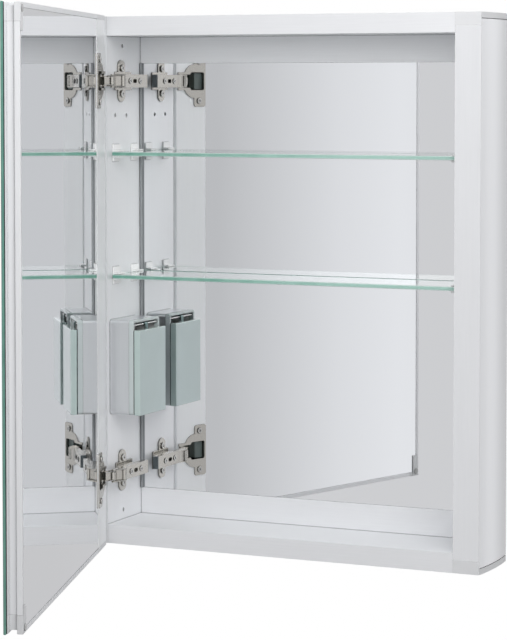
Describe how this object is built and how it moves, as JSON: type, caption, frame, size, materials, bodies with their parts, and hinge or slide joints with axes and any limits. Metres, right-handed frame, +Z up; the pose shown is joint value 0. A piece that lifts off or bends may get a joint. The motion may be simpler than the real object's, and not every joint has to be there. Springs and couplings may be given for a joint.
{
  "type": "mirrored medicine cabinet",
  "caption": "Wall-hung aluminium medicine cabinet with glass shelves, mirrored back and a mirror door on concealed hinges.",
  "frame": {"origin": "centre of the flat face that goes against the wall", "axes": "+X to the right seen from the front, +Y into the wall, +Z up"},
  "size_m": [0.5146, 0.5948, 0.664],
  "materials": {
    "body_profile": "satin anodised",
    "end_cap": "satin silver grey",
    "back_mirror": "polished, very slightly green",
    "back_board": "painted fibreboard",
    "bead": "grey strip",
    "hanger_steel": "zinc plated",
    "shelf_glass": "clear with green edges",
    "clip_plastic": "clear",
    "hinge_steel": "satin nickel plated",
    "screw_steel": "zinc plated",
    "dark_plastic": "dark grey moulding",
    "box_metal": "brushed",
    "box_rim": "translucent",
    "box_glass": "thick, greenish",
    "door_profile": "satin anodised",
    "door_corner": "satin silver grey",
    "door_mirror": "polished",
    "door_backing": "black film",
    "bumper": "clear soft"
  },
  "bodies": {
    "cabinet": {"side_panel_left": "body_profile", "side_panel_right": "body_profile", "top_panel": "body_profile", "bottom_panel": "body_profile", "end_cap_top_left": "end_cap", "end_cap_top_right": "end_cap", "end_cap_bottom_left": "end_cap", "end_cap_bottom_right": "end_cap", "frame_screws": "screw_steel", "back_rail_upper": "body_profile", "back_rail_lower": "body_profile", "back_mirror": "back_mirror", "back_board": "back_board", "mirror_bead_left": "bead", "mirror_bead_right": "bead", "hanger_plate_left": "hanger_steel", "hanger_plate_right": "hanger_steel", "hanger_rivets": "hanger_steel", "shelf_upper": "shelf_glass", "shelf_lower": "shelf_glass", "shelf_clips": "clip_plastic", "hinge_plate_upper": "hinge_steel", "hinge_plate_lower": "hinge_steel", "plate_screws": "screw_steel", "hinge_arm_upper": "hinge_steel", "hinge_arm_lower": "hinge_steel", "arm_screws": "screw_steel", "arm_covers": "dark_plastic", "arm_pins": "screw_steel", "nose_pins": "screw_steel", "box_shell": "box_metal", "box_rim": "box_rim", "box_pin": "screw_steel", "box_screws": "screw_steel"},
    "box_flap": {"box_cover": "box_glass", "box_strap": "screw_steel"},
    "long_links": {"long_link_upper": "hinge_steel", "long_link_lower": "hinge_steel"},
    "door": {"hinge_cup_upper": "hinge_steel", "hinge_cup_lower": "hinge_steel", "cup_pins": "screw_steel", "cup_rods": "screw_steel", "cup_liners": "dark_plastic", "cup_screws": "screw_steel", "hinge_stile": "door_profile", "free_stile": "door_profile", "door_rail_top": "door_profile", "door_rail_bottom": "door_profile", "door_corner_top": "door_corner", "door_corner_bottom": "door_corner", "stile_cap_top": "door_corner", "stile_cap_bottom": "door_corner", "door_bumpers": "bumper", "door_mirror_inner": "door_mirror", "door_mirror_outer": "door_mirror", "door_backing": "door_backing"},
    "short_links": {"short_link_upper": "hinge_steel", "short_link_lower": "hinge_steel"}
  },
  "joints": [
    {"name": "long_links_turn", "type": "hinge", "parent": "cabinet", "child": "long_links", "pos_m": [-0.218, -0.0922, 0], "axis": [0, 0, 1], "range_deg": [-23.89, 9.41]},
    {"name": "door_swing", "type": "hinge", "parent": "long_links", "child": "door", "pos_m": [-0.23801, -0.11372, 0], "axis": [0, 0, -1], "range_deg": [-95.64, 37.56]},
    {"name": "short_links_turn", "type": "hinge", "parent": "door", "child": "short_links", "pos_m": [-0.24232, -0.11725, 0], "axis": [0, 0, 1], "range_deg": [-92.82, 36.48]},
    {"name": "box_cover_flip", "type": "hinge", "parent": "cabinet", "child": "box_flap", "pos_m": [-0.2069, -0.05625, -0.0554], "axis": [0, -1, 0], "range_deg": [0, 90]}
  ],
  "couplings": [
    {"joint": "long_links_turn", "follows": "door_swing", "ratio": 0.24925},
    {"joint": "short_links_turn", "follows": "door_swing", "ratio": 0.96997}
  ]
}
